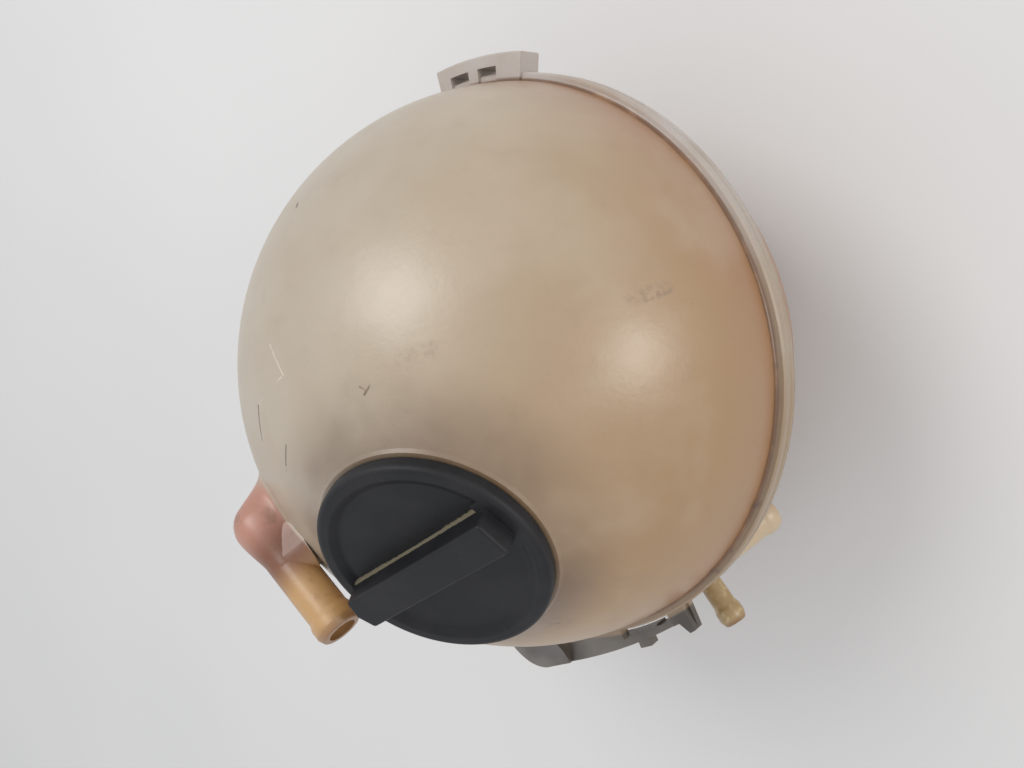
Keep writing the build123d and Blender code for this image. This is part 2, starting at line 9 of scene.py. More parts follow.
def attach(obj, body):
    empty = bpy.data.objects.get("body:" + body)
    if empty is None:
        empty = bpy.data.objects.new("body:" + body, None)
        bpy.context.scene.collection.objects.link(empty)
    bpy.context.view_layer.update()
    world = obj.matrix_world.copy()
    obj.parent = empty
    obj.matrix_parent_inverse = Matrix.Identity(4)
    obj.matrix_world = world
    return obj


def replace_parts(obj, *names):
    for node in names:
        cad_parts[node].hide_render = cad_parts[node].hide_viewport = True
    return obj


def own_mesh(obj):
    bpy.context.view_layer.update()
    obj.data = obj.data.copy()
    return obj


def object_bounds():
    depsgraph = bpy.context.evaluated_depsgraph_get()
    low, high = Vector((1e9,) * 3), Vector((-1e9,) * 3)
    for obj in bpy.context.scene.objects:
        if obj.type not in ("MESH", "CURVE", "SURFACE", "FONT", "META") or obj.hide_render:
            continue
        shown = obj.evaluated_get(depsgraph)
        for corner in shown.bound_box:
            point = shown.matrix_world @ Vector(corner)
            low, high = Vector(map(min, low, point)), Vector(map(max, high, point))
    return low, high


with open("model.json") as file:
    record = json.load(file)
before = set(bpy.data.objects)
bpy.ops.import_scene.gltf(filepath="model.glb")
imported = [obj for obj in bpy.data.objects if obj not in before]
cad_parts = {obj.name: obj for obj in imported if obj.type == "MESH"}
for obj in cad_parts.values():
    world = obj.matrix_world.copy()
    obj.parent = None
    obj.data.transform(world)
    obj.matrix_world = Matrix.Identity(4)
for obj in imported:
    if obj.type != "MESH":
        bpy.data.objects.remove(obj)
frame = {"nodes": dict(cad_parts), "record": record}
cad_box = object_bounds()

# The tank's own places, in metres: the ball's centre, and points measured from it in millimetres
MM = 0.001
BALL_CENTRE = Vector((0.0, -0.09885, 0.0))
BALL_RADIUS = 95.0
FLANGE_HALF = 4.6
NECK_TILT = radians(29.6)
NECK_AZIMUTH = radians(-53.0)
KNUCKLE = (-43.8, -36.9, 84.4)
ELBOW_TIP = (-11.4, -65.2, 84.4)
THIN_ROOT = (52.5, -74.1, -22.0)
THIN_TIP = (65.6, -92.6, -22.0)
STUB_ROOT = (50.4, -76.8, -35.5)
STUB_TIP = (63.5, -65.4, -60.0)

# How far the cap's grip bar is turned from across the slope
BAR_TURN = radians(8.2)

# The elbow's boss, in millimetres: over the knuckle, and where it runs out along the tube
BOSS_REACH = 16.0
BOSS_RADIUS, BOSS_END_RADIUS = 8.4, 6.3
BOSS_FOOT, BOSS_END_FOOT, BOSS_BACK_FOOT = 13.0, 8.5, 18.0
BOSS_LEAN, BOSS_BACK_LEAN = 12.0, 34.0
BOSS_DROP_PULL, BOSS_FOOT_PULL = 6.0, 5.0
BOSS_SUNK, BOSS_FLOOR, BOSS_TUCK = 0.25, 1.4, 0.8

# Where the lower shell's ball is drawn in: from under the flange down, but not its hose connections
DRAWN_IN = 3.2
DRAWN_START, DRAWN_DEPTH = -3.7, 5.5
SHAFT_END, SHAFT_FADE = 104.0, 7.5

# The cap's and the neck's thread: two starts, eight millimetres of lead
THREAD_LEAD = 8.0
THREAD_STARTS = 2


def srgb(red, green, blue):
    """Linear colour of a shade given in 0 to 255 steps, as a paint card gives it."""
    shades = (red / 255.0, green / 255.0, blue / 255.0)
    linear = [s / 12.92 if s <= 0.04045 else ((s + 0.055) / 1.055) ** 2.4 for s in shades]
    return (*linear, 1.0)


def neck_frame():
    """Frame on the neck's axis: X downhill, Z out of the neck, origin at the ball's centre."""
    lean, turn = NECK_TILT, NECK_AZIMUTH
    out = Vector((sin(lean) * cos(turn), sin(lean) * sin(turn), cos(lean)))
    downhill = Vector((cos(lean) * cos(turn), cos(lean) * sin(turn), -sin(lean)))
    across = out.cross(downhill)
    columns = Matrix((downhill, across, out)).transposed().to_4x4()
    return Matrix.Translation(BALL_CENTRE) @ columns


def on_cap(ahead, aside, height):
    """Point of the cap in millimetres from the ball's centre, by its grip bar: ahead along the bar, aside
    across it, and height along the neck."""
    turn = radians(90.0) - BAR_TURN
    local = Vector((ahead * cos(turn) - aside * sin(turn), ahead * sin(turn) + aside * cos(turn), height))
    return (neck_frame() @ (local * MM) - BALL_CENTRE) / MM


class Finish:
    """A material in the making. Its patterns read Object coordinates, measured in millimetres from the
    ball's centre, so that they stay put on the piece whatever the view."""

    def __init__(self, name):
        self.material = bpy.data.materials.new(name)
        self.material.use_nodes = True
        self.tree = self.material.node_tree
        self.shader = self.tree.nodes["Principled BSDF"]
        coordinates = self.node("ShaderNodeTexCoord").outputs["Object"]
        shift = {0: coordinates, 1: tuple(BALL_CENTRE)}
        moved = self.node("ShaderNodeVectorMath", shift, operation="SUBTRACT").outputs[0]
        enlarged = {0: moved, "Scale": 1.0 / MM}
        self.place = self.node("ShaderNodeVectorMath", enlarged, operation="SCALE").outputs[0]

    def node(self, kind, inputs=None, **settings):
        made = self.tree.nodes.new(kind)
        for name, value in settings.items():
            setattr(made, name, value)
        for name, value in (inputs or {}).items():
            if isinstance(value, bpy.types.NodeSocket):
                self.tree.links.new(value, made.inputs[name])
            else:
                made.inputs[name].default_value = value
        return made

    def calc(self, operation, first, second=0.0, clamp=False):
        settings = {"operation": operation, "use_clamp": clamp}
        return self.node("ShaderNodeMath", {0: first, 1: second}, **settings).outputs[0]

    def both(self, first, second):
        return self.calc("MULTIPLY", first, second)

    def share(self, value, low, high):
        """0 at low to 1 at high, or 1 down to 0 when low is the larger, with a smooth step between."""
        down = low > high
        ends = {"Value": value, "From Min": min(low, high), "From Max": max(low, high)}
        ends.update({"To Min": 1.0, "To Max": 0.0} if down else {"To Min": 0.0, "To Max": 1.0})
        return self.node("ShaderNodeMapRange", ends, interpolation_type="SMOOTHSTEP").outputs[0]

    def noise(self, size, detail=3.0, roughness=0.55, twist=0.0, stretch=(1.0, 1.0, 1.0)):
        """Cloudy pattern whose patches are about size millimetres across."""
        where = self.node("ShaderNodeMapping", {"Vector": self.place, "Scale": stretch}).outputs[0]
        inputs = {"Vector": where, "Scale": 1.0 / size, "Detail": detail, "Roughness": roughness}
        inputs["Distortion"] = twist
        return self.node("ShaderNodeTexNoise", inputs).outputs[0]

    def specks(self, spacing, radius):
        """1 in small dots, spaced at random."""
        inputs = {"Vector": self.place, "Scale": 1.0 / spacing, "Randomness": 1.0}
        gap = self.node("ShaderNodeTexVoronoi", inputs).outputs["Distance"]
        return self.share(gap, radius / spacing, 0.4 * radius / spacing)

    def along(self, direction):
        """Millimetres from the ball's centre along a direction."""
        inputs = {0: self.place, 1: tuple(Vector(direction).normalized())}
        return self.node("ShaderNodeVectorMath", inputs, operation="DOT_PRODUCT").outputs["Value"]

    def away(self, point):
        """Millimetres from a point."""
        inputs = {0: self.place, 1: tuple(point)}
        return self.node("ShaderNodeVectorMath", inputs, operation="DISTANCE").outputs["Value"]

    def spot(self, point, full, none):
        """1 within full millimetres of a point, fading to 0 at none."""
        return self.share(self.away(point), none, full)

    def beside(self, start, end):
        """Millimetres from the straight line between two points, and the share of the way along it."""
        start, end = Vector(start), Vector(end)
        run = end - start
        offset = self.node("ShaderNodeVectorMath", {0: self.place, 1: tuple(start)}, operation="SUBTRACT")
        dot = {0: offset.outputs[0], 1: tuple(run / run.length_squared)}
        way = self.node("ShaderNodeVectorMath", dot, operation="DOT_PRODUCT").outputs["Value"]
        kept = self.calc("MAXIMUM", self.calc("MINIMUM", way, 1.0), 0.0)
        reached = {0: tuple(run), "Scale": kept}
        foot = self.node("ShaderNodeVectorMath", reached, operation="SCALE").outputs[0]
        gap = {0: offset.outputs[0], 1: foot}
        return self.node("ShaderNodeVectorMath", gap, operation="DISTANCE").outputs["Value"], way

    def stroke(self, start, end, full, none):
        """1 along the straight line between two points, fading to 0 at none millimetres from it."""
        return self.share(self.beside(start, end)[0], none, full)

    def paint(self, below, colour, cover):
        """Colour laid over what is below, as thick as cover says."""
        mixed = self.node("ShaderNodeMix", data_type="RGBA")
        for socket, value in ((0, cover), (6, below), (7, colour)):
            if isinstance(value, bpy.types.NodeSocket):
                self.tree.links.new(value, mixed.inputs[socket])
            else:
                mixed.inputs[socket].default_value = value
        return mixed.outputs[2]

    def worn_edges(self, radius):
        """1 at convex and concave edges of the form, 0 on its open faces."""
        rounded = self.node("ShaderNodeBevel", {"Radius": radius * MM}, samples=4).outputs[0]
        flat = self.node("ShaderNodeNewGeometry").outputs["Normal"]
        turn = self.node("ShaderNodeVectorMath", {0: rounded, 1: flat}, operation="DOT_PRODUCT")
        return self.share(turn.outputs["Value"], 0.985, 0.80)

    def relief(self, *layers):
        """Bump from pairs of a pattern and its depth in millimetres."""
        normal = None
        for pattern, depth in layers:
            inputs = {"Height": pattern, "Distance": depth * MM, "Strength": 1.0}
            if normal is not None:
                inputs["Normal"] = normal
            normal = self.node("ShaderNodeBump", inputs).outputs[0]
        self.tree.links.new(normal, self.shader.inputs["Normal"])

    def finish(self, colour, roughness, **levels):
        for name, value in {"Base Color": colour, "Roughness": roughness, **levels}.items():
            socket = self.shader.inputs[name.replace("_", " ")]
            if isinstance(value, bpy.types.NodeSocket):
                self.tree.links.new(value, socket)
            else:
                socket.default_value = value
        return self.material


def aged_polypropylene():
    """The shells' milky plastic: beige where it is clean, brown and darker towards the flange, partly from
    heat and partly painted shade.
    """
    coat = Finish("aged_polypropylene")
    cloud = coat.noise(60.0, detail=3.0, twist=0.4)
    drift = coat.noise(30.0, detail=3.0, roughness=0.45, twist=0.2)
    mottle = coat.noise(9.0, detail=4.0, roughness=0.6)
    fine = coat.noise(2.2, detail=3.0)

    # Broad colour: cool beige on the crown's far side, warmer to the right, and brown and darker towards
    # the flange, partly real browning and partly painted shade
    height = coat.along((0.0, 0.0, 1.0))
    across = coat.along((0.80, -0.40, -0.45))
    warm_side = coat.share(coat.calc("ADD", across, coat.both(cloud, 30.0)), -50.0, 80.0)
    colour = coat.paint(srgb(178, 165, 146), srgb(160, 127, 88), warm_side)
    # Brown towards the flange; its darkness is partly painted shade
    browned_and_shaded = coat.share(coat.calc("ADD", height, coat.both(cloud, 40.0)), 62.0, 14.0)
    colour = coat.paint(colour, srgb(150, 98, 62), coat.both(browned_and_shaded, 0.64))
    colour = coat.paint(colour, srgb(152, 124, 94), coat.both(coat.share(drift, 0.44, 0.72), 0.20))
    colour = coat.paint(colour, srgb(194, 182, 164), coat.both(coat.share(drift, 0.50, 0.28), 0.18))
    colour = coat.paint(colour, srgb(142, 120, 98), coat.both(coat.share(mottle, 0.52, 0.75), 0.12))

    # Grime with painted shade around the neck under the cap, and painted shade with brown stain in the
    # corner between ball and flange
    neck_spot = (neck_frame() @ Vector((0.0, 0.0, BALL_RADIUS * MM)) - BALL_CENTRE) / MM
    # Painted shade with grime in a ring around the neck under the cap
    collar_grime_and_shade = coat.both(coat.spot(neck_spot, 32.0, 58.0), coat.share(drift, 0.05, 0.75))
    colour = coat.paint(colour, srgb(92, 68, 48), coat.both(collar_grime_and_shade, 0.82))
    level = coat.node("ShaderNodeVectorMath", {0: coat.place, 1: (1.0, 1.0, 0.0)}, operation="MULTIPLY")
    reach = coat.node("ShaderNodeVectorMath", {0: level.outputs[0]}, operation="LENGTH").outputs["Value"]
    out_of_ball = coat.calc("SUBTRACT", reach, BALL_RADIUS)
    off_flange = coat.calc("SUBTRACT", coat.calc("ABSOLUTE", height), FLANGE_HALF)
    from_corner = coat.node("ShaderNodeCombineXYZ", {0: out_of_ball, 1: off_flange})
    from_corner = coat.node("ShaderNodeVectorMath", {0: from_corner.outputs[0]}, operation="LENGTH")
    corner_gap = from_corner.outputs["Value"]
    # Brown stain and painted shade in the corner between ball and flange
    corner_stain_and_shade = coat.both(coat.share(corner_gap, 9.0, 1.0), coat.share(drift, 0.35, 0.65))
    colour = coat.paint(colour, srgb(150, 104, 64), coat.both(corner_stain_and_shade, 0.6))

    # The flange and its brackets are greyer; the flange darkens towards -Y, partly painted shade, and the
    # lower bracket is painted dark with grime and painted shade
    rim = coat.share(reach, 95.2, 96.0)
    # Lighter and greyer towards the far +Y end, darker towards -Y; the darkening is partly painted shade
    far_end = coat.share(coat.along((0, 1, 0)), -20.0, 95.0)
    rim_colour = coat.paint(srgb(154, 137, 114), srgb(184, 178, 173), far_end)
    rim_colour = coat.paint(rim_colour, srgb(150, 126, 98), coat.both(coat.share(drift, 0.40, 0.66), 0.5))
    colour = coat.paint(colour, rim_colour, coat.both(rim, 0.88))
    # Painted shadow line along the crease between ball and flange
    line = coat.both(coat.share(corner_gap, 1.5, 0.5), coat.share(mottle, 0.10, 0.55))
    colour = coat.paint(colour, srgb(98, 66, 40), coat.both(line, 0.85))
    # The lower bracket painted dark: painted shade from the ball and flange above it, with grime
    lobe = coat.both(coat.share(reach, 98.4, 99.6), coat.share(coat.along((0, -1, 0)), 30.0, 60.0))
    lobe_shade_and_grime = coat.paint(srgb(124, 117, 109), srgb(66, 56, 47), coat.share(drift, 0.35, 0.65))
    colour = coat.paint(colour, lobe_shade_and_grime, lobe)

    # Hose connections: pink-brown knuckle, a dark brown band past it that is painted shade, amber tube,
    # olive nipple, pale stub
    gap, way = coat.beside(KNUCKLE, ELBOW_TIP)
    outside = coat.share(coat.away((0, 0, 0)), 94.5, 99.0)
    tube = coat.both(coat.share(gap, 18.0, 11.0), coat.share(coat.away((0, 0, 0)), 94.8, 96.2))
    # The dark brown band just past the knuckle is painted shade over the elbow's orange-brown
    amber = coat.paint(srgb(178, 124, 104), srgb(118, 66, 36), coat.share(way, 0.02, 0.28))
    amber = coat.paint(amber, srgb(188, 146, 92), coat.share(way, 0.34, 0.66))
    amber = coat.paint(amber, srgb(128, 90, 56), coat.both(coat.share(way, 0.90, 1.0), 0.8))
    amber = coat.paint(amber, srgb(104, 72, 46), coat.both(coat.share(mottle, 0.52, 0.70), 0.45))
    colour = coat.paint(colour, amber, tube)
    gap, way = coat.beside(THIN_ROOT, THIN_TIP)
    olive = coat.paint(srgb(164, 136, 88), srgb(206, 184, 138), coat.both(coat.share(fine, 0.45, 0.7), 0.6))
    olive = coat.paint(olive, srgb(120, 78, 36), coat.both(coat.share(way, 0.90, 1.0), 0.8))
    colour = coat.paint(colour, olive, coat.both(coat.share(gap, 7.0, 5.2), outside))
    gap, way = coat.beside(STUB_ROOT, STUB_TIP)
    colour = coat.paint(colour, srgb(196, 174, 142), coat.both(coat.share(gap, 10.0, 8.0), outside))

    # Marks of use: rubbed smudges, scratches and a crack on the crown's far side
    grain = coat.share(coat.noise(2.6, detail=4.0, roughness=0.7), 0.36, 0.70)
    smudges = (
        ((76.5, 28.0, 48.8), (81.6, 29.2, 39.0), 0.2, 3.0, 0.55),
        ((78.6, 27.2, 45.9), (81.9, 28.6, 38.8), 0.1, 1.2, 0.60),
        ((32.4, 18.7, 87.3), (38.6, 21.2, 84.2), 0.2, 4.2, 0.34),
        ((55.0, 6.0, 77.2), (58.0, 3.0, 75.2), 0.2, 3.6, 0.20),
    )
    for start, end, full, none, strength in smudges:
        cover = coat.both(coat.stroke(start, end, full, none), grain)
        colour = coat.paint(colour, srgb(122, 98, 78), coat.both(cover, strength))
    scratches = (
        ((21.0, 10.4, 92.1), (22.6, 12.6, 91.4), 0.15, 0.5, srgb(110, 88, 68)),
        ((19.6, 12.4, 92.0), (21.4, 11.6, 91.8), 0.10, 0.4, srgb(128, 104, 82)),
        ((-16.9, 22.9, 90.6), (-9.5, 15.0, 93.3), 0.10, 0.45, srgb(210, 198, 182)),
        ((-9.5, 15.0, 93.3), (-26.0, 5.3, 91.2), 0.10, 0.45, srgb(210, 198, 182)),
        ((-26.0, 5.3, 91.2), (-27.3, -5.4, 90.8), 0.20, 0.6, srgb(92, 76, 62)),
        ((-11.8, -4.9, 94.1), (-15.3, -12.9, 92.9), 0.12, 0.5, srgb(104, 86, 70)),
        ((-24.0, 62.0, 68.0), (-23.0, 60.6, 69.2), 0.25, 0.8, srgb(92, 72, 54)),
    )
    for start, end, full, none, shade in scratches:
        broken = coat.both(coat.stroke(start, end, full, none), coat.share(fine, 0.30, 0.50))
        colour = coat.paint(colour, shade, broken)
    stain = coat.both(coat.stroke((44.6, -61.5, 57.0), (46.4, -66.0, 50.2), 0.8, 5.0), grain)
    colour = coat.paint(colour, srgb(92, 64, 40), coat.both(stain, 0.6))
    # Three dark spots on the corner line between ball and flange
    for point, size in (((86.5, -38.9, 5.1), 3.0), ((77.1, -55.5, 4.6), 2.0), ((72.1, -61.7, 5.0), 3.4)):
        colour = coat.paint(colour, srgb(66, 44, 30), coat.both(coat.spot(point, 0.4, size), grain))
    colour = coat.paint(colour, srgb(104, 82, 62), coat.both(coat.specks(13.0, 0.32), 0.6))

    roughness = coat.node("ShaderNodeMapRange", {"Value": drift, "To Min": 0.37, "To Max": 0.45}).outputs[0]
    coat.relief((coat.noise(1.6, detail=2.0), 0.05), (mottle, 0.20))
    return coat.finish(
        colour,
        roughness,
        Specular_IOR_Level=0.80,
        Coat_Weight=0.35,
        Coat_Roughness=0.33,
        Subsurface_Weight=0.10,
        Subsurface_Radius=(0.9, 0.55, 0.3),
        Subsurface_Scale=0.003,
    )


def grained_black_nylon():
    """The cap's black plastic: a fine moulded grain, dusty, with a pale line along the bar's foot that is
    partly edge wear and partly a painted highlight.
    """
    coat = Finish("grained_black_nylon")
    cloud = coat.noise(16.0, detail=4.0, roughness=0.6)
    grain = coat.noise(0.55, detail=2.0)
    colour = coat.paint(srgb(22, 23, 26), srgb(34, 34, 37), coat.share(cloud, 0.36, 0.70))
    colour = coat.paint(colour, srgb(70, 69, 68), coat.both(coat.specks(3.4, 0.22), 0.5))
    colour = coat.paint(colour, srgb(78, 76, 73), coat.both(coat.worn_edges(0.5), 0.30))
    # A pale broken line along the bar's foot, partly edge wear and partly a painted highlight
    line_breaks = coat.noise(1.4, detail=3.0, roughness=0.7)
    bar_foot_wear_and_highlight = coat.stroke(on_cap(-28.6, 5.9, 94.6), on_cap(28.5, 5.9, 94.6), 0.3, 1.5)
    bar_foot_wear_and_highlight = coat.share(coat.calc("ADD", bar_foot_wear_and_highlight, coat.both(line_breaks, 1.1)), 0.95, 1.35)
    colour = coat.paint(colour, srgb(140, 132, 110), coat.both(bar_foot_wear_and_highlight, 0.75))
    roughness = coat.node("ShaderNodeMapRange", {"Value": cloud, "To Min": 0.42, "To Max": 0.62}).outputs[0]
    coat.relief((grain, 0.035), (cloud, 0.1))
    return coat.finish(colour, roughness, Specular_IOR_Level=0.34)


def moulded_nylon():
    """The valve parts' dark nylon, hidden under the cap until it is unscrewed."""
    coat = Finish("moulded_nylon")
    cloud = coat.noise(7.0, detail=4.0)
    colour = coat.paint(srgb(58, 58, 61), srgb(80, 79, 80), coat.share(cloud, 0.35, 0.7))
    colour = coat.paint(colour, srgb(120, 117, 112), coat.both(coat.worn_edges(0.3), 0.4))
    coat.relief((coat.noise(0.7), 0.03),)
    return coat.finish(colour, 0.48)


def sealing_rubber():
    """Black rubber of the rings and seals, wet with coolant in places."""
    coat = Finish("sealing_rubber")
    cloud = coat.noise(4.0, detail=3.0)
    colour = coat.paint(srgb(30, 30, 31), srgb(46, 45, 44), coat.share(cloud, 0.4, 0.7))
    roughness = coat.node("ShaderNodeMapRange", {"Value": cloud, "To Min": 0.32, "To Max": 0.66}).outputs[0]
    coat.relief((coat.noise(0.5), 0.02),)
    return coat.finish(colour, roughness)


def drawn_spring_wire():
    """Bright steel wire and stamped steel, with faint drawing lines and a few dull patches."""
    coat = Finish("drawn_spring_wire")
    cloud = coat.noise(3.0, detail=4.0)
    lines = coat.noise(0.3, detail=2.0, stretch=(1.0, 1.0, 6.0))
    colour = coat.paint(srgb(196, 197, 199), srgb(140, 138, 135), coat.share(cloud, 0.45, 0.75))
    roughness = coat.node("ShaderNodeMapRange", {"Value": lines, "To Min": 0.22, "To Max": 0.42}).outputs[0]
    coat.relief((lines, 0.008),)
    return coat.finish(colour, roughness, Metallic=1.0)


def pale_floor():
    """Plain pale paper under the tank."""
    coat = Finish("pale_floor")
    cloud = coat.noise(260.0, detail=2.0)
    colour = coat.paint(srgb(218, 218, 218), srgb(226, 225, 224), cloud)
    coat.relief((coat.noise(0.8), 0.02),)
    return coat.finish(colour, 0.85)


FINISHES = {
    "tank_plastic": aged_polypropylene(),
    "cap_plastic": grained_black_nylon(),
    "valve_plastic": moulded_nylon(),
    "seal_rubber": sealing_rubber(),
    "spring_steel": drawn_spring_wire(),
}

for part in frame["record"]["subparts"]:
    shown = frame["nodes"][part["node"]]
    for slot in shown.material_slots:
        slot.material = FINISHES[part["material_slot"]]


class Recipe:
    """A Geometry Nodes tree in the making, with its sizes as named inputs."""

    def __init__(self, name, sizes):
        self.tree = bpy.data.node_groups.new(name, "GeometryNodeTree")
        self.tree.interface.new_socket("Geometry", in_out="OUTPUT", socket_type="NodeSocketGeometry")
        self.sizes = sizes
        for label, (kind, value) in sizes.items():
            made = self.tree.interface.new_socket(label, in_out="INPUT", socket_type=kind)
            if value is not None:
                made.default_value = value
        self.given = self.tree.nodes.new("NodeGroupInput").outputs

    def node(self, kind, inputs=None, **settings):
        made = self.tree.nodes.new(kind)
        for name, value in settings.items():
            setattr(made, name, value)
        for name, value in (inputs or {}).items():
            if isinstance(value, bpy.types.NodeSocket):
                self.tree.links.new(value, made.inputs[name])
            else:
                made.inputs[name].default_value = value
        return made

    def calc(self, operation, first, second=0.0):
        return self.node("ShaderNodeMath", {0: first, 1: second}, operation=operation).outputs[0]

    def done(self, geometry):
        """Ends the tree in real faces with their material."""
        real = self.node("GeometryNodeRealizeInstances", {"Geometry": geometry}).outputs[0]
        dressed = {"Geometry": real, "Material": self.given["Finish"]}
        dressed = self.node("GeometryNodeSetMaterial", dressed).outputs[0]
        self.tree.links.new(dressed, self.tree.nodes.new("NodeGroupOutput").inputs[0])

    def make(self, name, body, slot, place=None, **values):
        """Runs the tree once with these sizes, and keeps the result as a plain mesh on a body."""
        holder = bpy.data.objects.new(name + "_tree", bpy.data.meshes.new(name + "_tree"))
        bpy.context.scene.collection.objects.link(holder)
        modifier = holder.modifiers.new("recipe", "NODES")
        modifier.node_group = self.tree
        for item in self.tree.interface.items_tree:
            if item.in_out == "INPUT" and item.name in values:
                modifier[item.identifier] = values[item.name]
        bpy.context.view_layer.update()
        evaluated = holder.evaluated_get(bpy.context.evaluated_depsgraph_get())
        mesh = bpy.data.meshes.new_from_object(evaluated)
        bpy.data.objects.remove(holder)
        mesh.name = name
        if place is not None:
            mesh.transform(place)
        mesh.shade_smooth()
        piece = bpy.data.objects.new(name, mesh)
        bpy.context.scene.collection.objects.link(piece)
        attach(piece, body)
        return piece


def thread_recipe():
    """Screw thread of several starts about Z: a ridge that fades in and out at its ends."""
    recipe = Recipe(
        "screw_thread",
        {
            "Radius": ("NodeSocketFloat", 0.023),
            "Base height": ("NodeSocketFloat", 0.08),
            "Lead": ("NodeSocketFloat", 0.008),
            "Turns": ("NodeSocketFloat", 0.9),
            "Starts": ("NodeSocketInt", 2),
            "Start angle": ("NodeSocketFloat", 0.0),
            "Ridge depth": ("NodeSocketFloat", 0.0015),
            "Root width": ("NodeSocketFloat", 0.002),
            "Crest width": ("NodeSocketFloat", 0.001),
            "Finish": ("NodeSocketMaterial", None),
        },
    )
    size = recipe.given
    rise = recipe.calc("MULTIPLY", size["Lead"], size["Turns"])
    helix = {
        "Resolution": 96,
        "Rotations": size["Turns"],
        "Start Radius": size["Radius"],
        "End Radius": size["Radius"],
        "Height": rise,
    }
    path = recipe.node("GeometryNodeCurveSpiral", helix).outputs[0]
    path = recipe.node("GeometryNodeSetCurveNormal", {"Curve": path}, mode="Z_UP").outputs[0]
    way = recipe.node("GeometryNodeSplineParameter").outputs["Factor"]
    from_end = recipe.calc("MINIMUM", way, recipe.calc("SUBTRACT", 1.0, way))
    fade = recipe.node("ShaderNodeMapRange", {0: from_end, 1: 0.0, 2: 0.09, 3: 0.05, 4: 1.0}).outputs[0]
    path = recipe.node("GeometryNodeSetCurveRadius", {"Curve": path, "Radius": fade}).outputs[0]
    ridge = {"Bottom Width": size["Root width"], "Top Width": size["Crest width"], "Offset": 0.0}
    ridge["Height"] = recipe.calc("ABSOLUTE", size["Ridge depth"])
    ridge = recipe.node("GeometryNodeCurvePrimitiveQuadrilateral", ridge, mode="TRAPEZOID").outputs[0]
    half = recipe.calc("MULTIPLY", size["Ridge depth"], -0.5)
    shift = recipe.node("ShaderNodeCombineXYZ", {0: half}).outputs[0]
    turned = recipe.calc("MULTIPLY", recipe.calc("SIGN", size["Ridge depth"]), tau / 4)
    turned = recipe.node("ShaderNodeCombineXYZ", {2: turned}).outputs[0]
    moved = {"Geometry": ridge, "Translation": shift, "Rotation": turned}
    ridge = recipe.node("GeometryNodeTransform", moved).outputs[0]
    sweep = {"Curve": path, "Profile Curve": ridge, "Fill Caps": True}
    thread = recipe.node("GeometryNodeCurveToMesh", sweep).outputs[0]
    points = recipe.node("GeometryNodePoints", {"Count": size["Starts"]}).outputs[0]
    index = recipe.node("GeometryNodeInputIndex").outputs[0]
    step = recipe.calc("DIVIDE", tau, size["Starts"])
    turn = recipe.calc("ADD", recipe.calc("MULTIPLY", index, step), size["Start angle"])
    turn = recipe.node("ShaderNodeCombineXYZ", {2: turn}).outputs[0]
    copies = {"Points": points, "Instance": thread, "Rotation": turn}
    copies = recipe.node("GeometryNodeInstanceOnPoints", copies).outputs[0]
    lift = recipe.node("ShaderNodeCombineXYZ", {2: size["Base height"]}).outputs[0]
    copies = recipe.node("GeometryNodeTransform", {"Geometry": copies, "Translation": lift}).outputs[0]
    recipe.done(copies)
    return recipe


thread = thread_recipe()
threads = {
    "Lead": THREAD_LEAD * MM,
    "Starts": THREAD_STARTS,
    "Root width": 1.9 * MM,
    "Crest width": 0.9 * MM,
}
thread.make(
    "neck_thread",
    "tank",
    "tank_plastic",
    place=neck_frame(),
    **threads,
    **{
        "Radius": 24.6 * MM,
        "Base height": 81.9 * MM,
        "Turns": 0.85,
        "Ridge depth": -1.5 * MM,
        "Finish": FINISHES["tank_plastic"],
    },
)
thread.make(
    "cap_thread",
    "cover",
    "cap_plastic",
    place=neck_frame(),
    **threads,
    **{
        "Radius": 22.2 * MM,
        "Base height": 81.7 * MM,
        "Turns": 0.95,
        "Start angle": radians(81.0),
        "Ridge depth": 1.5 * MM,
        "Finish": FINISHES["cap_plastic"],
    },
)


def eased(share):
    """0 to 1 with a smooth start and end; outside it stays at its end."""
    kept = min(max(share, 0.0), 1.0)
    return kept * kept * (3.0 - 2.0 * kept)


def merged_copy(node):
    """A CAD node's surface with its loose triangles joined."""
    shape = bmesh.new()
    shape.from_mesh(frame["nodes"][node].data)
    bmesh.ops.remove_doubles(shape, verts=shape.verts, dist=0.001 * MM)
    return shape


def add_piece(name, shape, body, slot, crease=None):
    """Makes a shape a piece that rides on a body, smooth but for edges sharper than crease degrees."""
    mesh = bpy.data.meshes.new(name)
    shape.to_mesh(mesh)
    shape.free()
    mesh.shade_smooth()
    if crease is not None:
        mesh.set_sharp_from_angle(angle=radians(crease))
    mesh.materials.append(FINISHES[slot])
    for face in mesh.polygons:
        face.material_index = 0
    piece = bpy.data.objects.new(name, mesh)
    bpy.context.scene.collection.objects.link(piece)
    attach(piece, body)
    return piece


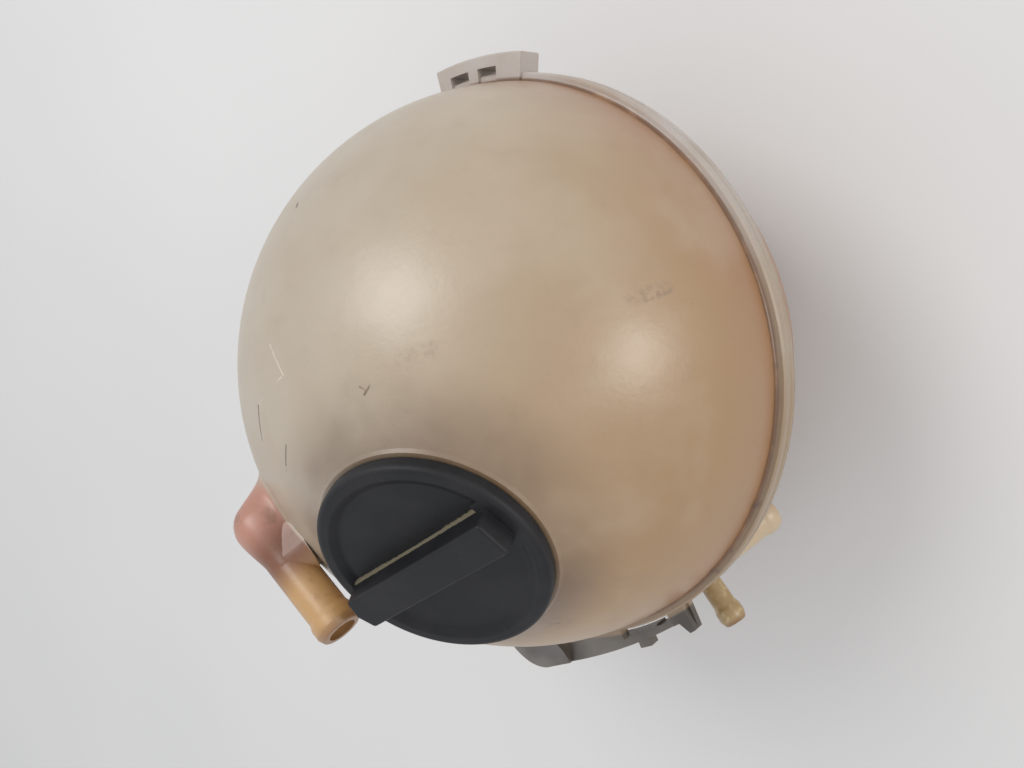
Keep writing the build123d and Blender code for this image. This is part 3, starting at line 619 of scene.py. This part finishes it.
def elbow_skin():
    """The smooth boss that the elbow's knuckle grows from: rows run from its ridge down to the ball's
    skin, and on under it, so that the piece is closed."""
    knuckle = Vector(KNUCKLE)
    run = (Vector(ELBOW_TIP) - knuckle).normalized()
    turns, steps, arc_steps, flare_steps = 20, 8, 6, 10
    stadium = [(0.0, 90.0 + 180.0 * k / turns) for k in range(turns)]
    stadium += [(BOSS_REACH * k / steps, 270.0) for k in range(steps)]
    stadium += [(BOSS_REACH, 270.0 + 180.0 * k / turns) for k in range(turns)]
    stadium += [(BOSS_REACH * (1.0 - k / steps), 90.0) for k in range(steps)]
    body = bmesh.new()
    columns = []
    for along, angle in stadium:
        centre = knuckle + run * along
        upright = centre.normalized()
        forward = (run - upright * run.dot(upright)).normalized()
        heading = radians(angle)
        outwards = forward * cos(heading) + upright.cross(forward) * sin(heading)
        share = eased(along / BOSS_REACH)
        behind = max(0.0, -cos(heading)) ** 2
        radius = BOSS_RADIUS + (BOSS_END_RADIUS - BOSS_RADIUS) * share
        foot = BOSS_FOOT + (BOSS_END_FOOT - BOSS_FOOT) * share + (BOSS_BACK_FOOT - BOSS_FOOT) * behind
        lean = radians(BOSS_LEAN + (BOSS_BACK_LEAN - BOSS_LEAN) * behind)
        height = centre.length - BALL_RADIUS
        profile = []
        for k in range(arc_steps + 1):
            rise = radians(90.0) + (lean - radians(90.0)) * k / arc_steps
            profile.append((radius * cos(rise), height + radius * sin(rise)))
        top = Vector(profile[-1])
        pull = Vector((sin(lean), -cos(lean))) * BOSS_DROP_PULL
        end = Vector((foot, -BOSS_SUNK))
        pull_back = Vector((BOSS_FOOT_PULL, 0.0))
        for k in range(1, flare_steps + 1):
            t = k / flare_steps
            u = 1.0 - t
            mixed = top * u ** 3 + (top + pull) * (3 * u * u * t)
            mixed += (end - pull_back) * (3 * u * t * t) + end * t ** 3
            profile.append(tuple(mixed))
        profile += [(out, -BOSS_FLOOR) for out in (foot - BOSS_TUCK, foot * 0.5, 0.0)]
        base = upright * BALL_RADIUS
        points = [(base + outwards * out).normalized() * (BALL_RADIUS + up) for out, up in profile]
        columns.append([body.verts.new(BALL_CENTRE + point * MM) for point in points])
    for left, right in zip(columns, columns[1:] + columns[:1]):
        for k in range(len(left) - 1):
            body.faces.new((left[k], left[k + 1], right[k + 1], right[k]))
    bmesh.ops.remove_doubles(body, verts=body.verts, dist=0.02 * MM)
    bmesh.ops.recalc_face_normals(body, faces=body.faces)
    add_piece("elbow_boss", body, "tank", "tank_plastic")


def lower_bowl():
    """The lower shell with its ball drawn in a little under the flange, as its outline needs."""
    shape = merged_copy("lower_shell")
    for vertex in shape.verts:
        spot = (vertex.co - BALL_CENTRE) / MM
        level = Vector((spot.x, spot.y, 0.0))
        under = eased((DRAWN_START - spot.z) / DRAWN_DEPTH)
        drawn_in = DRAWN_IN * under * eased((SHAFT_END - spot.length) / SHAFT_FADE)
        vertex.co = BALL_CENTRE + (spot - level * (drawn_in / BALL_RADIUS)) * MM
    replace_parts(add_piece("lower_bowl", shape, "tank", "tank_plastic", crease=32.0), "lower_shell")


def pressed_spring(name, node, body):
    """A spring's CAD surface made a smooth steel piece on a body, in place of the CAD node."""
    shape = merged_copy(node)
    piece = add_piece(name, shape, body, "spring_steel", crease=40.0)
    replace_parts(piece, node)
    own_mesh(piece)


elbow_skin()
lower_bowl()
pressed_spring("relief_coil", "relief_spring", "valve_unit")
pressed_spring("vacuum_coil", "vacuum_spring", "relief_valve")


def set_stage():
    """A wide pale floor just under the ball, soft lamps and an even pale sky."""
    scene = bpy.context.scene
    floor_mesh = bpy.data.meshes.new("floor")
    reach, level = 4.0, cad_box[0][2] - 0.0005
    corners = [(x * reach, y * reach, level) for x, y in ((-1, -1), (1, -1), (1, 1), (-1, 1))]
    floor_mesh.from_pydata(corners, [], [(0, 1, 2, 3)])
    floor_mesh.materials.append(pale_floor())
    floor = bpy.data.objects.new("floor", floor_mesh)
    scene.collection.objects.link(floor)

    lamps = (
        ("crown_lamp", (-0.165, 0.538, 0.828), 1.1, 0.56, 3.8, (1.0, 0.98, 0.95)),
        ("side_lamp", (0.985, 0.11, 0.16), 1.1, 0.34, 2.6, (1.0, 0.96, 0.90)),
    )
    for name, direction, distance, width, power, tint in lamps:
        lamp = bpy.data.lights.new(name, "AREA")
        lamp.shape = "DISK"
        lamp.size = width
        lamp.energy = power
        lamp.color = tint
        holder = bpy.data.objects.new(name, lamp)
        heading = Vector(direction).normalized()
        holder.location = BALL_CENTRE + heading * distance
        holder.rotation_euler = heading.to_track_quat("Z", "Y").to_euler()
        holder.visible_camera = False
        scene.collection.objects.link(holder)

    world = bpy.data.worlds.new("pale_sky")
    scene.world = world
    world.use_nodes = True
    tree = world.node_tree
    background = tree.nodes["Background"]
    background.inputs["Color"].default_value = (0.97, 0.98, 1.0, 1.0)
    background.inputs["Strength"].default_value = 0.77
    scene.view_settings.view_transform = "Standard"


def set_camera():
    """The photograph's viewpoint: close above the crown, with the flange's +Y side up in the picture."""
    data = bpy.data.cameras.new("photo_camera")
    data.sensor_width = 36.0
    data.lens = 31.64
    data.clip_start = 0.01
    camera = bpy.data.objects.new("photo_camera", data)
    bpy.context.scene.collection.objects.link(camera)
    look = Vector((-0.617, -0.1783, -0.7665)).normalized()
    right = look.cross(Vector((-0.0299, 0.9786, -0.2035))).normalized()
    up = right.cross(look)
    turned = Matrix((right, up, -look)).transposed().to_4x4()
    camera.matrix_world = Matrix.Translation((0.1935, -0.04845, 0.2457)) @ turned
    bpy.context.scene.camera = camera


set_stage()
set_camera()
